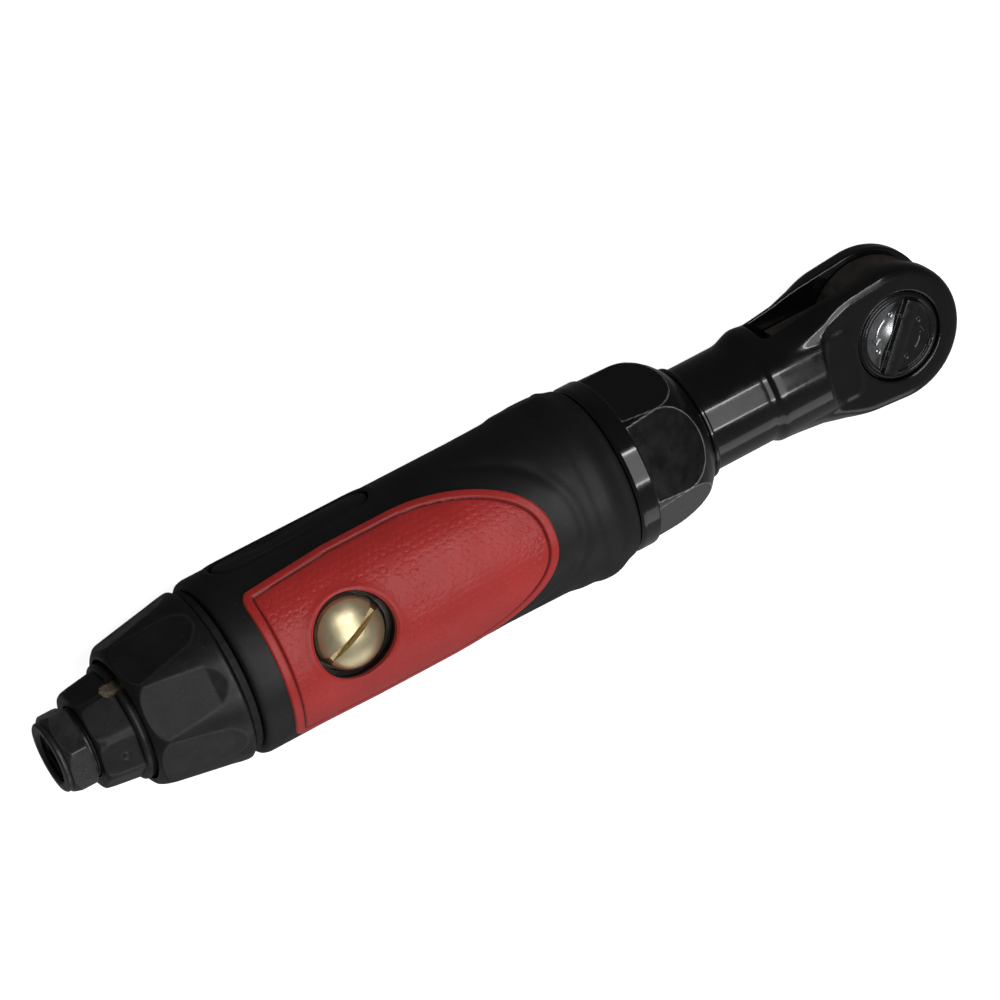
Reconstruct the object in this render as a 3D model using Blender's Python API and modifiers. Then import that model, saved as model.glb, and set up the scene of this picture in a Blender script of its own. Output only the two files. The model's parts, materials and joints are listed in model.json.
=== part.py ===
"""Pneumatic ratchet wrench, built as the separate pieces it comes apart into.

Frame: +X runs along the tool axis from the air inlet to the head, +Z points out of the
reversing knob, and the square drive points along -Z.  The origin is the centre of the
square drive's end face.  Dimensions are in millimetres and become metres in the helpers.
X stations are measured from the drive axis, radii from the piece's own axis.
"""
import math

import bmesh
import bpy
from mathutils import Euler, Vector

MM = 0.001
GAP = 0.3                      # clearance left between pieces that touch

# ---- driving dimensions -------------------------------------------------------------
AXIS_Z = 26.0                  # tool axis above the square drive's end face
HANDLE_ROLL = math.radians(-12.0)   # the handle is clamped 12 degrees round from the head
KNOB_ANGLE = math.radians(55.0)     # grip bar of the reversing knob, from the tool axis

INLET_X = -237.8               # rear face of the inlet bushing
INLET_FLATS = 19.05            # 3/4 inch across flats
INLET_BORE = 6.2               # minor radius of the 1/4 inch pipe thread
HEX_ROLL = math.radians(12.5)

COLLAR_REAR, COLLAR_FRONT = -217.3, -194.0
COLLAR_R_REAR, COLLAR_R_FRONT = 19.4, 22.25
GRIP_REAR, GRIP_FRONT = -191.4, -86.2
GRIP_R, GRIP_LIP_R, GRIP_BORE = 23.1, 24.8, 19.8
PANEL_REAR, PANEL_FRONT = -184.0, -107.6
PANEL_HALF = 20.3              # half width of the soft panel, seen from above it
REGULATOR_X = -163.5
RECESS_R = 10.8                # round recess about the regulator
REGULATOR_R = 9.3
LEVER_REAR, LEVER_FRONT = -184.4, -140.9
LEVER_PIVOT_X, LEVER_PIVOT_Y = -145.0, 20.4
STEM_X = -172.0

HOUSING_REAR, HOUSING_FRONT = -208.0, -79.3
HOUSING_R, THREAD_R, HOUSING_BORE = 19.0, 19.4, 16.5
MOTOR_REAR, MOTOR_FRONT = -140.0, -106.0
MOTOR_BORE, MOTOR_OFFSET, ROTOR_R = 12.6, 1.2, 11.0
VANES = 5

MODULE = 0.75
SUN_TEETH = PLANET_TEETH = 12
RING_TEETH = 36
PLANETS = 3
PRESSURE = math.radians(25.0)
GEAR_REAR, GEAR_FRONT = -100.4, -91.0
PLANET_ORBIT = MODULE * (SUN_TEETH + PLANET_TEETH) / 2

NUT_REAR, NUT_FRONT = -84.6, -58.6
NUT_FLATS = 39.0
NUT_ROLL = math.radians(20.0)
NECK_R = 13.9
HEAD_R, HEAD_HALF, SLOT_HALF = 18.2, 11.0, 5.1
HEAD_ROUND = 3.6
SHOULDER_X, SLOT_REAR = -36.0, -34.0   # where the round neck and the ears begin
NEAR_BORE, FAR_BORE, CRANK_BORE = 11.9, 9.3, 9.5

CRANK_THROW = 1.7
YOKE_R, YOKE_HALF, YOKE_TEETH = 16.6, 4.7, 60
YOKE_TIP, YOKE_ROOT = 11.4, 12.1
DRIVE_SQUARE = 12.7
PAWL_PIN_X = 7.2


# ---- collections, empties and finishes ----------------------------------------------
for old in list(bpy.data.objects):
    bpy.data.objects.remove(old, do_unlink=True)

parts = bpy.data.collections.new("air_ratchet")
cutters = bpy.data.collections.new("cutters")
for group in (parts, cutters):
    bpy.context.scene.collection.children.link(group)


def empty(name, location, rotation=(0, 0, 0)):
    """A joint or assembly frame that pieces are parented to."""
    obj = bpy.data.objects.new(name, None)
    obj.location = Vector(location) * MM
    obj.rotation_euler = rotation
    parts.objects.link(obj)
    return obj


head = empty("head_frame", (0, 0, AXIS_Z))
handle = empty("handle_frame", (0, 0, AXIS_Z), (HANDLE_ROLL, 0, 0))

FINISHES = {                   # colour, metallic, roughness
    "gloss_black": ((0.012, 0.012, 0.013), 0.0, 0.18),
    "satin_black": ((0.018, 0.018, 0.019), 0.0, 0.42),
    "grip_black": ((0.022, 0.022, 0.022), 0.0, 0.75),
    "red_rubber": ((0.26, 0.02, 0.018), 0.0, 0.7),
    "brass": ((0.75, 0.6, 0.28), 1.0, 0.3),
    "bronze": ((0.5, 0.36, 0.2), 1.0, 0.65),
    "steel": ((0.5, 0.5, 0.51), 1.0, 0.35),
    "dark_steel": ((0.09, 0.085, 0.08), 1.0, 0.4),
    "chrome": ((0.8, 0.8, 0.82), 1.0, 0.1),
    "phenolic": ((0.16, 0.09, 0.04), 0.0, 0.6),
    "seal_rubber": ((0.02, 0.02, 0.02), 0.0, 0.85),
}
AXIS_TURN = {"X": (0, math.pi / 2, 0), "Y": (-math.pi / 2, 0, 0), "Z": (0, 0, 0)}


def place(obj, parent, finish, location=(0, 0, 0), rotation=(0, 0, 0)):
    """Put a new object in its frame; without a finish it is a cutter."""
    obj.parent = parent
    obj.location = Vector(location) * MM
    obj.rotation_euler = rotation
    if finish is None:
        obj.hide_render = True
        obj.display_type = "WIRE"
        cutters.objects.link(obj)
        return obj
    colour, metallic, roughness = FINISHES[finish]
    material = bpy.data.materials.new(obj.name + "_" + finish)
    material.use_nodes = True
    shader = material.node_tree.nodes["Principled BSDF"]
    shader.inputs["Base Color"].default_value = (*colour, 1)
    shader.inputs["Metallic"].default_value = metallic
    shader.inputs["Roughness"].default_value = roughness
    obj.data.materials.append(material)
    parts.objects.link(obj)
    return obj


def smooth(obj, angle=35):
    obj.data.shade_smooth()
    obj.data.set_sharp_from_angle(angle=math.radians(angle))


# ---- shape helpers ------------------------------------------------------------------
def turned(name, profile, parent, finish, axis="X", at=(0, 0, 0), steps=24, roll=0.0, ring=False):
    """A turned piece: (station, radius) pairs run down the outer side from the + end.

    A ring's profile goes on up its inner side and closes; a solid's ends on the axis.
    """
    mesh = bpy.data.meshes.new(name)
    points = [(radius * MM, 0, station * MM) for station, radius in profile]
    edges = [(i, i + 1) for i in range(len(points) - 1)]
    if ring:
        edges.append((len(points) - 1, 0))
    mesh.from_pydata(points, edges, [])
    obj = bpy.data.objects.new(name, mesh)
    turn = Euler(AXIS_TURN[axis]).to_matrix() @ Euler((0, 0, roll)).to_matrix()
    place(obj, parent, finish, at, turn.to_euler())
    screw = obj.modifiers.new("turn", "SCREW")
    screw.steps = screw.render_steps = steps
    screw.use_merge_vertices = True
    screw.merge_threshold = 0.00001
    screw.use_smooth_shade = True
    return obj


def tube(name, x0, x1, inner, outer, parent, finish, **options):
    """A plain ring between two stations."""
    profile = [(x1, outer), (x0, outer), (x0, inner), (x1, inner)]
    return turned(name, profile, parent, finish, ring=True, **options)


def rod(name, x0, x1, radius, parent, finish, chamfer=0.0, **options):
    """A plain pin between two stations, with chamfered ends if asked."""
    profile = [(x1, 0), (x1, radius), (x0, radius), (x0, 0)]
    if chamfer:
        profile = [(x1, 0), (x1, radius - chamfer), (x1 - chamfer, radius),
                   (x0 + chamfer, radius), (x0, radius - chamfer), (x0, 0)]
    return turned(name, profile, parent, finish, **options)


def block(name, low, high, parent, finish, rotation=(0, 0, 0), about=(0, 0, 0)):
    """A box from corner to corner, turned about a point."""
    mesh = bpy.data.meshes.new(name)
    bm = bmesh.new()
    bmesh.ops.create_cube(bm, size=1.0)
    size = [(b - a) * MM for a, b in zip(low, high)]
    centre = Vector([(a + b) / 2 - c for a, b, c in zip(low, high, about)]) * MM
    bmesh.ops.scale(bm, vec=size, verts=bm.verts)
    bmesh.ops.translate(bm, vec=centre, verts=bm.verts)
    bm.to_mesh(mesh)
    bm.free()
    return place(bpy.data.objects.new(name, mesh), parent, finish, about, rotation)


def curve_to_mesh(obj):
    """Replace a curve by its welded mesh, ready for Boolean modifiers."""
    bpy.context.view_layer.update()
    evaluated = obj.evaluated_get(bpy.context.evaluated_depsgraph_get())
    mesh = bpy.data.meshes.new_from_object(evaluated)
    bm = bmesh.new()
    bm.from_mesh(mesh)
    bmesh.ops.remove_doubles(bm, verts=bm.verts, dist=0.000005)
    bmesh.ops.recalc_face_normals(bm, faces=bm.faces)
    bm.to_mesh(mesh)
    bm.free()
    name, data = obj.name, obj.data
    bpy.data.objects.remove(obj, do_unlink=True)
    bpy.data.curves.remove(data)
    return bpy.data.objects.new(name, mesh)


def merge_flat(mesh):
    """Join coplanar triangles, so that a bevel runs round the outline only."""
    bm = bmesh.new()
    bm.from_mesh(mesh)
    bmesh.ops.dissolve_limit(bm, angle_limit=0.01, verts=bm.verts, edges=bm.edges)
    bm.to_mesh(mesh)
    bm.free()


def flat_solid(name, loops, low, high, parent, finish, axis="Z", at=(0, 0, 0), roll=0.0):
    """A flat outline, with holes, thickened between two heights along its axis."""
    data = bpy.data.curves.new(name, "CURVE")
    data.dimensions = "2D"
    data.fill_mode = "BOTH"
    data.extrude = (high - low) / 2 * MM
    for loop in loops:
        spline = data.splines.new("POLY")
        spline.points.add(len(loop) - 1)
        for point, (x, y) in zip(spline.points, loop):
            point.co = (x * MM, y * MM, 0, 1)
        spline.use_cyclic_u = True
    obj = bpy.data.objects.new(name, data)
    bpy.context.scene.collection.objects.link(obj)
    obj = curve_to_mesh(obj)
    obj.data.transform(Euler((0, 0, roll)).to_matrix().to_4x4())
    for vertex in obj.data.vertices:
        vertex.co.z += (high + low) / 2 * MM
    return place(obj, parent, finish, at, AXIS_TURN[axis])


def coil(name, start, end, radius, wire, turns, parent, finish, axis="Y", at=(0, 0, 0)):
    """A compression spring between two stations of its own axis."""
    data = bpy.data.curves.new(name, "CURVE")
    data.dimensions = "3D"
    data.bevel_depth = wire * MM
    data.bevel_resolution = 2
    data.use_fill_caps = True
    count = int(turns * 7)
    spline = data.splines.new("POLY")
    spline.points.add(count)
    for i, point in enumerate(spline.points):
        angle = math.tau * turns * i / count
        height = start + (end - start) * i / count
        point.co = (radius * math.cos(angle) * MM, radius * math.sin(angle) * MM, height * MM, 1)
    obj = bpy.data.objects.new(name, data)
    return place(obj, parent, finish, at, AXIS_TURN[axis])


def ball(name, centre, radius, parent, finish, **options):
    """A ball on its axis, as a half circle turned."""
    angles = [math.pi * i / 6 for i in range(1, 6)]
    profile = [(centre + radius * math.cos(a), radius * math.sin(a)) for a in angles]
    profile = [(centre + radius, 0)] + profile + [(centre - radius, 0)]
    return turned(name, profile, parent, finish, steps=12, **options)


def boolean(obj, other, operation="DIFFERENCE"):
    modifier = obj.modifiers.new(operation.lower(), "BOOLEAN")
    modifier.operation = operation
    modifier.solver = "EXACT"
    modifier.object = other
    return obj


def faceted(obj, sides, x0, flats0, x1, flats1, parent, roll, reach=30.0):
    """Plane flats round a turned piece, leaving a polygon that may taper along X."""
    corner = 1 / math.cos(math.pi / sides) / 2
    profile = [(x1, reach), (x0, reach), (x0, flats0 * corner), (x1, flats1 * corner)]
    cutter = turned(obj.name + "_flats", profile, parent, None, steps=sides, roll=roll, ring=True)
    return boolean(obj, cutter)


def arc(radius, start, end, count):
    """Points of an arc about the origin, angles in degrees."""
    steps = [math.radians(start + (end - start) * i / count) for i in range(count + 1)]
    return [(radius * math.cos(a), radius * math.sin(a)) for a in steps]


def involute(angle):
    return math.tan(angle) - angle


def gear_loop(teeth, tip, root, slack, phase=0.0):
    """Outline of an involute gear; slack thins (+) or widens (-) each tooth's half."""
    pitch = MODULE * teeth / 2
    base = pitch * math.cos(PRESSURE)

    def half_angle(radius):
        roll = math.acos(min(1.0, base / max(radius, base)))
        return math.pi / (2 * teeth) - slack / pitch + involute(PRESSURE) - involute(roll)

    radii = [root, tip]
    loop = []
    for tooth in range(teeth):
        centre = math.tau * tooth / teeth + phase
        flank = [(r, half_angle(r)) for r in radii]
        side = [(r, centre - a) for r, a in flank] + [(r, centre + a) for r, a in reversed(flank)]
        loop += [(r * math.cos(a), r * math.sin(a)) for r, a in side]
    return loop


# ---- air inlet and exhaust ----------------------------------------------------------
def build_inlet():
    bushing = turned("inlet_bushing", [
        (-211.0, 9.0), (-229.4, 9.0), (-229.4, 8.4), (-230.4, 8.4), (-230.4, 10.2),
        (-231.4, 11.0), (-234.9, 11.0), (-236.4, 9.4), (INLET_X, 9.0), (INLET_X, INLET_BORE + 0.8),
        (INLET_X + 0.8, INLET_BORE), (-223.0, INLET_BORE - 0.4), (-223.0, 4.2), (-211.0, 4.2),
    ], handle, "satin_black", ring=True)
    faceted(bushing, 6, INLET_X - 1, INLET_FLATS, -230.4, INLET_FLATS, handle, HEX_ROLL)
    rod("inlet_screen", -222.6, -221.8, 3.9, handle, "steel", steps=16)
    tube("inlet_o_ring", -212.9, -211.3, 9.3, 10.6, handle, "seal_rubber", steps=20)
    deflector = turned("exhaust_deflector", [
        (-213.2, 15.0), (-218.0, 15.0), (-218.6, 15.3), (-226.6, 13.2), (-228.8, 12.7),
        (-229.0, 11.9), (-229.0, 9.4), (-226.8, 9.4), (-226.8, 12.0), (-213.2, 13.6),
    ], handle, "satin_black", ring=True)
    notch = block("deflector_notch", (-230, 6, -3.2), (-219.5, 18, 3.2), handle, None)
    notch.rotation_euler = (math.radians(30), 0, 0)
    boolean(deflector, notch)
    tube("exhaust_silencer", -226.2, -213.6, 9.4, 11.5, handle, "bronze", steps=24)


def build_collar():
    collar = turned("rear_collar", [
        (COLLAR_FRONT, COLLAR_R_FRONT - 0.4), (COLLAR_FRONT - 0.5, COLLAR_R_FRONT),
        (-214.4, COLLAR_R_REAR), (-216.2, 18.2), (COLLAR_REAR, 16.9), (COLLAR_REAR, 15.9),
        (-209.6, 15.9), (-209.6, 17.4), (-208.4, HOUSING_R + GAP), (COLLAR_FRONT, HOUSING_R + GAP),
    ], handle, "satin_black", ring=True, steps=32)
    faceted(collar, 8, COLLAR_REAR - 1, 36.3, -199.0, 42.7, handle, HEX_ROLL + math.pi / 8)
    tube("collar_seal", COLLAR_FRONT + GAP, GRIP_REAR - GAP, HOUSING_R + GAP, 21.4, handle,
         "seal_rubber", steps=32)


# ---- handle casing ------------------------------------------------------------------
def panel_outline(grow):
    """Outline of the soft panel seen from above: square rear, rounded and tapered front."""
    rear, front, half = PANEL_REAR - grow, PANEL_FRONT + grow, PANEL_HALF + grow
    shoulder = -142.0
    nose = [(shoulder + (front - shoulder) * math.sin(math.radians(a)),
             half * math.cos(math.radians(a)) ** 0.8) for a in range(0, 90, 10)]
    upper = [(rear, half - 3), (rear + 1.5, half)] + nose
    return upper + [(front, 0)] + [(x, -y) for x, y in reversed(upper)]


def panel_sleeve(name, inner, outer, grow, finish):
    """The part of a ring round the handle that lies under the panel's outline."""
    sleeve = tube(name, PANEL_REAR - 2, PANEL_FRONT + 2, inner, outer, handle, finish, steps=32)
    prism = flat_solid(name + "_prism", [panel_outline(grow)], 6, 40, handle, None)
    return boolean(sleeve, prism, "INTERSECT")


def lever_slot(name, grow, low):
    """Cutter with round ends, as long as the lever's recess, open outward along +Y."""
    half = 5.7 + grow
    rear, front = LEVER_REAR - grow + half, LEVER_FRONT + grow - half
    loop = [(x + front, y) for x, y in arc(half, -90, 90, 8)]
    loop += [(x + rear, y) for x, y in arc(half, 90, 270, 8)]
    cutter = flat_solid(name, [[(x, -y) for x, y in loop]], low, 30, handle, None)
    cutter.rotation_euler = AXIS_TURN["Y"]
    return cutter


def build_casing():
    grip = turned("grip_housing", [
        (GRIP_FRONT, 22.6), (-88.2, 23.3), (-90.6, 24.4), (-92.6, GRIP_LIP_R), (-96.0, 24.4),
        (-101.0, 23.6), (-115.0, 22.95), (-150.0, 23.0), (-189.4, GRIP_R), (GRIP_REAR, 22.3),
        (GRIP_REAR, GRIP_BORE), (GRIP_FRONT, GRIP_BORE),
    ], handle, "grip_black", ring=True, steps=32)
    boolean(grip, panel_sleeve("panel_pocket", 21.4, 30.0, GAP, None))
    bore = dict(axis="Z", at=(REGULATOR_X, 0, 0), steps=24, roll=0.05)
    recess = rod("regulator_recess", 12, 30, RECESS_R, handle, None, **bore)
    boolean(grip, recess)
    boolean(grip, lever_slot("lever_recess", GAP, 12.0))

    panel = panel_sleeve("grip_panel", 21.7, 23.7, 0.0, "red_rubber")
    boolean(panel, recess)

    housing = turned("motor_housing", [
        (HOUSING_FRONT, THREAD_R - 0.4), (HOUSING_FRONT - 0.4, THREAD_R), (-85.4, THREAD_R),
        (-85.8, HOUSING_R), (HOUSING_REAR, HOUSING_R), (HOUSING_REAR, 13.2), (-210.6, 13.2),
        (-210.6, 9.3), (-194.0, 9.3), (-194.0, 3.4), (-148.0, 3.4), (-148.0, HOUSING_BORE),
        (HOUSING_FRONT, HOUSING_BORE),
    ], handle, "steel", ring=True, steps=28)
    boolean(housing, turned("regulator_bore", [
        (30, 0), (30, REGULATOR_R + 0.5), (14.6, REGULATOR_R + 0.5), (14.6, 4.4), (-3, 4.4), (-3, 0),
    ], handle, None, **bore))
    boolean(housing, rod("valve_bore", -9, 30, 4.1, handle, None, axis="Y", at=(STEM_X, 0, 0),
                         steps=14, roll=0.1))
    boolean(housing, block("lever_pocket", (LEVER_REAR, 16.6, -6), (-152, 30, 6), handle, None))
    boolean(housing, block("pivot_pocket", (-153, 18.2, -6.2), (LEVER_FRONT, 32, 6.2), handle, None))
    for i, angle in enumerate((180, 222, 138)):
        y = 14.0 * math.sin(math.radians(angle))
        z = 14.0 * math.cos(math.radians(angle))
        boolean(housing, rod(f"exhaust_passage_{i + 1}", -220, -140, 1.6, handle, None,
                             at=(0, y, z), steps=12))


def build_controls():
    lever = flat_solid("throttle_lever", [[(x - LEVER_PIVOT_X, -y) for x, y in lever_loop()]],
                       19.7 - LEVER_PIVOT_Y, 22.7 - LEVER_PIVOT_Y, handle, "satin_black",
                       at=(LEVER_PIVOT_X, LEVER_PIVOT_Y, 0))
    lever.rotation_euler = AXIS_TURN["Y"]
    crown = tube("lever_crown", LEVER_REAR, LEVER_FRONT, 23.0, 40.0, handle, None, steps=32)
    boolean(lever, crown)
    pin_at = (LEVER_PIVOT_X, LEVER_PIVOT_Y, 0)
    boolean(lever, rod("lever_eye", -9, 9, 1.3, handle, None, axis="Z", at=pin_at, steps=12))
    rod("lever_pin", -5.2, 5.2, 0.95, handle, "steel", axis="Z", at=pin_at, steps=12)

    valve = dict(axis="Y", at=(STEM_X, 0, 0), steps=14)
    turned("valve_stem", [(19.4, 0), (19.4, 1.2), (19.0, 1.6), (11.0, 1.6), (10.6, 1.2),
                          (5.7, 1.2), (5.7, 0)], handle, "steel", **valve)
    tube("valve_seat", 7.0, 9.6, 1.9, 3.7, handle, "brass", **valve)
    ball("valve_ball", 2.8, 2.5, handle, "steel", axis="Y", at=(STEM_X, 0, 0))
    coil("valve_spring", -7.6, -2.6, 2.0, 0.35, 3.5, handle, "steel", at=(STEM_X, 0, 0))

    screw = turned("regulator_screw", [
        (23.4, 0), (23.2, 2.8), (22.5, 5.4), (21.3, 7.8), (19.8, REGULATOR_R), (15.2, REGULATOR_R),
        (15.2, 3.9), (10.4, 3.9), (10.4, 3.2), (8.4, 3.2), (8.4, 3.9), (-2.4, 3.9), (-2.4, 0),
    ], handle, "brass", axis="Z", at=(REGULATOR_X, 0, 0), steps=24)
    slot = block("screw_slot", (-12, -0.65, 21.0), (12, 0.65, 30), handle, None)
    slot.location = Vector((REGULATOR_X, 0, 0)) * MM
    slot.rotation_euler = (0, 0, math.radians(25))
    boolean(screw, slot)
    port = rod("screw_port", -9, 9, 2.3, handle, None, steps=12)
    port.location = Vector((REGULATOR_X, 0, 1.2)) * MM
    boolean(screw, port)
    tube("regulator_o_ring", 8.7, 10.1, 3.5, 4.1, handle, "seal_rubber", axis="Z",
         at=(REGULATOR_X, 0, 0), steps=16)


def lever_loop():
    half = 5.4
    rear, front = LEVER_REAR + GAP + half, LEVER_FRONT - GAP - half
    loop = [(x + front, y) for x, y in arc(half, -90, 90, 8)]
    return loop + [(x + rear, y) for x, y in arc(half, 90, 270, 8)]


# ---- air motor ----------------------------------------------------------------------
def build_motor():
    cylinder = tube("motor_cylinder", MOTOR_REAR + GAP, MOTOR_FRONT - GAP, 8.0, 16.2, handle,
                    "dark_steel", steps=24)
    boolean(cylinder, rod("cylinder_bore", -150, -90, MOTOR_BORE, handle, None,
                          at=(0, 0, -MOTOR_OFFSET), steps=28))
    for side in (-1, 1):
        boolean(cylinder, block(f"cylinder_port_{side + 2}", (-131, -2 + 6 * side, -20),
                                (-115, 2 + 6 * side, -5), handle, None))

    rotor = turned("rotor", [
        (-100.8, 0), (-100.8, 3.4), (-101.4, 5.3), (-105.6, 5.3), (-106.6, 5.3), (-106.6, ROTOR_R),
        (-139.4, ROTOR_R), (-139.4, 4.8), (-140.4, 3.8), (-147.4, 3.8), (-147.4, 0),
    ], handle, "steel", steps=20)
    pinion = gear_loop(SUN_TEETH, 5.05, 3.55, 0.1, math.pi / 2)
    boolean(rotor, flat_solid("sun_pinion", [pinion], -101.2, GEAR_FRONT - 0.6, handle, None,
                              axis="X"), "UNION")
    for i in range(VANES):
        angle = math.tau * i / VANES
        slot = block(f"vane_slot_{i + 1}", (-141, -0.95, 5.6), (-104.5, 0.95, 14), handle, None)
        slot.rotation_euler = (angle, 0, 0)
        boolean(rotor, slot)
        vane = block(f"vane_{i + 1}", (-138.9, -0.65, 6.0), (-107.1, 0.65, ROTOR_R - 0.1), handle,
                     "phenolic")
        vane.rotation_euler = (angle, 0, 0)

    turned("rear_end_plate", [
        (-140.3, 16.2), (-143.8, 16.2), (-143.8, 10.4), (-147.7, 10.4), (-147.7, 8.3),
        (-143.6, 8.3), (-143.6, 4.3), (-140.3, 5.2),
    ], handle, "steel", ring=True, steps=20)
    tube("rear_bearing", -147.6, -143.9, 4.1, 8.0, handle, "chrome", steps=20)
    turned("front_end_plate", [
        (-101.9, 16.2), (-105.9, 16.2), (-105.9, 5.7), (-104.9, 5.7), (-104.9, 9.6), (-101.9, 9.6),
    ], handle, "steel", ring=True, steps=20)
    tube("front_bearing", -104.6, -102.0, 5.6, 9.3, handle, "chrome", steps=20)


# ---- planetary gear and crankshaft --------------------------------------------------
def build_gears():
    teeth = gear_loop(RING_TEETH, 14.35, 12.95, -0.1, math.radians(5.0))
    flat_solid("ring_gear", [arc(16.2, 0, 348.75, 31), teeth], GEAR_REAR - 0.3, GEAR_FRONT + 0.3,
               handle, "steel", axis="X")
    for i in range(PLANETS):
        angle = math.tau * i / PLANETS
        y = PLANET_ORBIT * math.sin(angle)
        z = PLANET_ORBIT * math.cos(angle)
        at = (0, y, z)
        teeth = gear_loop(PLANET_TEETH, 5.05, 3.55, 0.1, math.radians(15.0) + math.pi / 2 - angle)
        flat_solid(f"planet_gear_{i + 1}", [teeth, arc(1.95, 0, 330, 11)], GEAR_REAR + 0.2,
                   GEAR_FRONT - 0.6, handle, "steel", axis="X", at=at)
        rod(f"planet_pin_{i + 1}", -100.6, -87.2, 1.6, handle, "steel", at=at, steps=16)

    crank = turned("crankshaft", [
        (-32.0, 0), (-32.0, 5.6), (-34.4, 5.6), (-34.8, 5.0), (-74.0, 5.0), (-75.0, 6.6),
        (-86.4, 6.6), (-86.4, 14.6), (-90.0, 14.6), (-90.0, 0),
    ], head, "steel", steps=20)
    pin = rod("crank_pin", -33.0, -22.6, 2.0, head, None, at=(0, 0, CRANK_THROW), steps=12)
    boolean(crank, pin, "UNION")
    for i in range(PLANETS):
        angle = math.tau * i / PLANETS - HANDLE_ROLL
        y = PLANET_ORBIT * math.sin(angle)
        z = PLANET_ORBIT * math.cos(angle)
        boolean(crank, rod(f"carrier_hole_{i + 1}", -92, -85, 1.9, head, None, at=(0, y, z),
                           steps=12))
    tube("drive_bushing", -30.2, -23.0, 2.3, 3.15, head, "steel", at=(0, 0, CRANK_THROW), steps=12)
    tube("carrier_bearing", -85.9, -80.4, 6.9, 12.6, head, "chrome", steps=20)
    tube("crank_bearing", -64.0, -44.0, 5.3, 9.2, head, "steel", steps=20)


# ---- clamp nut and ratchet housing --------------------------------------------------
def build_nut():
    nut = turned("clamp_nut", [
        (NUT_FRONT, 14.9), (-59.6, 16.0), (-61.4, 18.0), (-63.5, 19.7), (-65.6, 20.7),
        (-67.7, 21.4), (-70.0, 21.8), (-79.4, 21.9), (-79.8, 22.3), (-83.8, 22.3),
        (NUT_REAR, 21.7), (NUT_REAR, THREAD_R + GAP), (-79.0, THREAD_R + GAP), (-79.0, 19.0),
        (-70.4, 19.0), (-70.4, NECK_R + 0.35), (NUT_FRONT, NECK_R + 0.35),
    ], head, "gloss_black", ring=True, steps=30)
    faceted(nut, 6, -79.3, NUT_FLATS, NUT_FRONT + 2, NUT_FLATS - 3, head, math.pi / 6 - NUT_ROLL)
    tube("nut_washer", NUT_FRONT + GAP, NUT_FRONT + 1.6, NECK_R + 0.35, 15.0, head, "steel",
         steps=24)


def head_outline():
    """Seen along the drive axis: a round end with tangents running back to the shoulder."""
    half = 13.2
    reach = math.hypot(SHOULDER_X, half)
    tangent = math.degrees(math.atan2(half, SHOULDER_X) - math.acos(HEAD_R / reach))
    return [(SHOULDER_X, half)] + arc(HEAD_R, tangent, -tangent, 16) + [(SHOULDER_X, -half)]


def build_housing():
    housing = turned("ratchet_housing", [
        (-19.0, 0), (-19.0, 10.2), (-24.0, 12.0), (-29.0, 13.6), (-33.0, 14.5), (-36.5, 14.6),
        (-38.6, NECK_R), (-70.8, NECK_R), (-70.8, 16.0), (-71.4, 18.6), (-78.7, 18.6),
        (-78.9, 16.2), (-86.1, 16.2), (-86.1, 12.9), (-80.0, 12.9), (-80.0, 6.9), (-79.0, CRANK_BORE),
        (-42.0, CRANK_BORE), (-42.0, 0),
    ], head, "gloss_black", steps=32)
    fork = flat_solid("fork", [head_outline()], -HEAD_HALF, HEAD_HALF, head, None)
    merge_flat(fork.data)
    bevel = fork.modifiers.new("rounding", "BEVEL")
    bevel.width = HEAD_ROUND * MM
    bevel.segments = 2
    bevel.limit_method = "ANGLE"
    bevel.angle_limit = math.radians(50)
    boolean(housing, fork, "UNION")
    boolean(housing, rod("crank_bore", -43, -29, CRANK_BORE, head, None, steps=32))
    boolean(housing, block("yoke_slot", (SLOT_REAR, -30, -SLOT_HALF), (30, 30, SLOT_HALF), head, None))
    boolean(housing, rod("near_bore", 0, 20, NEAR_BORE, head, None, axis="Z", steps=32))
    boolean(housing, rod("far_bore", -20, 0, FAR_BORE, head, None, axis="Z", steps=28))


# ---- ratchet mechanism --------------------------------------------------------------
def build_yoke():
    side, mouth = 10.4, 7.2
    edge = math.degrees(math.asin(side / YOKE_R))
    outline = [(-28.5, side)] + arc(YOKE_R, 180 - edge, edge - 180, 24)
    outline += [(-28.5, -side), (-28.5, -mouth), (-15.6, -mouth), (-15.6, mouth), (-28.5, mouth)]
    teeth = []
    for i in range(2 * YOKE_TEETH):
        radius = YOKE_TIP if i % 2 else YOKE_ROOT
        angle = math.pi * i / YOKE_TEETH
        teeth.append((radius * math.cos(angle), radius * math.sin(angle)))
    flat_solid("ratchet_yoke", [outline, teeth], -YOKE_HALF, YOKE_HALF, head, "dark_steel")


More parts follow.
